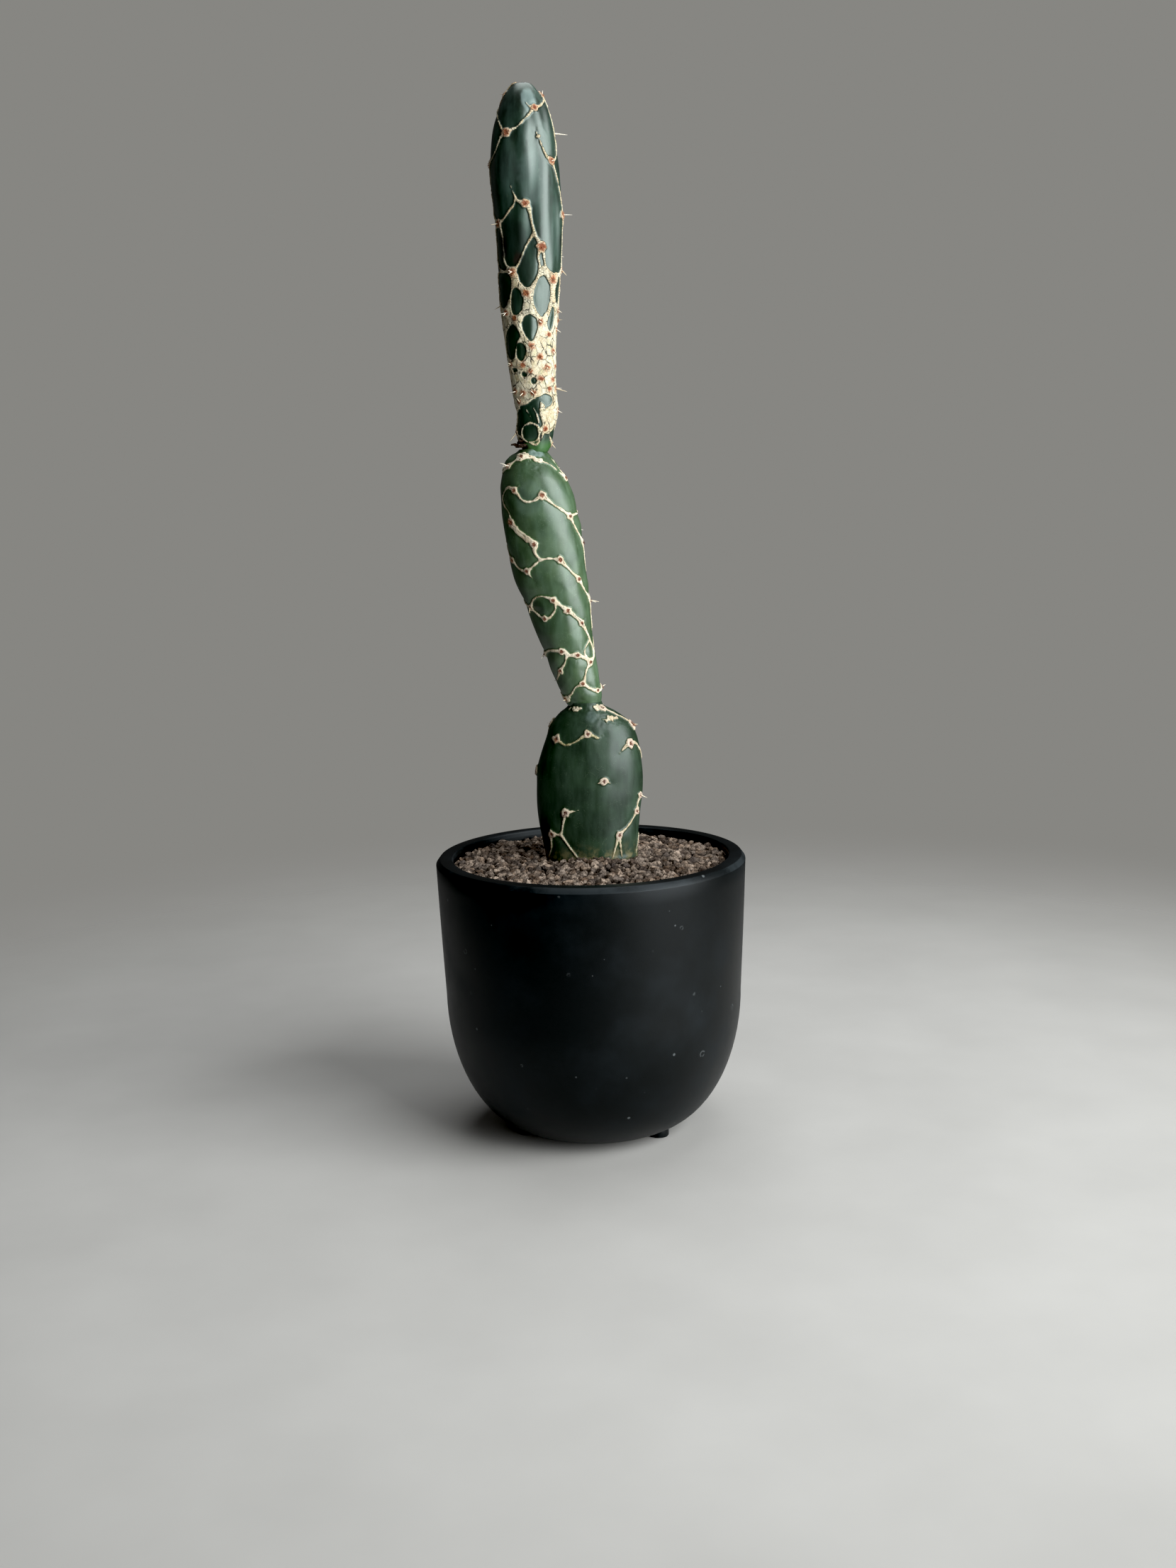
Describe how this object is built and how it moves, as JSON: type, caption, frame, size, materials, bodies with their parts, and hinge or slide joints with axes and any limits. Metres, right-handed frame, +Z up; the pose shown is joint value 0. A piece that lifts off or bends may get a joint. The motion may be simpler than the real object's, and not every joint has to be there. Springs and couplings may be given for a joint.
{
  "type": "potted prickly pear cactus",
  "caption": "Upright prickly pear cutting of stacked fleshy pads with a raised cork net, in a round-bottomed black pot filled with grit.",
  "frame": {"origin": "on the surface the pot stands on, under the middle of the pot", "axes": "+Z up along the plant, +X to the plant's right seen from the front, the front faces -Y"},
  "size_m": [0.12, 0.1202, 0.3946],
  "materials": {
    "pot": "matte black moulded plastic, faint dust and water marks",
    "grit": "dry porous rock grit, dull grey-brown",
    "lower_pad": "waxy dark green skin with cream cork lines",
    "middle_pad": "waxy mid green skin with cream cork lines",
    "upper_pad": "waxy blue-green skin with a thick cream cork net"
  },
  "bodies": {
    "root": {"pot": "pot", "grit": "grit", "lower_pad": "lower_pad", "middle_pad": "middle_pad", "upper_pad": "upper_pad"}
  },
  "joints": []
}
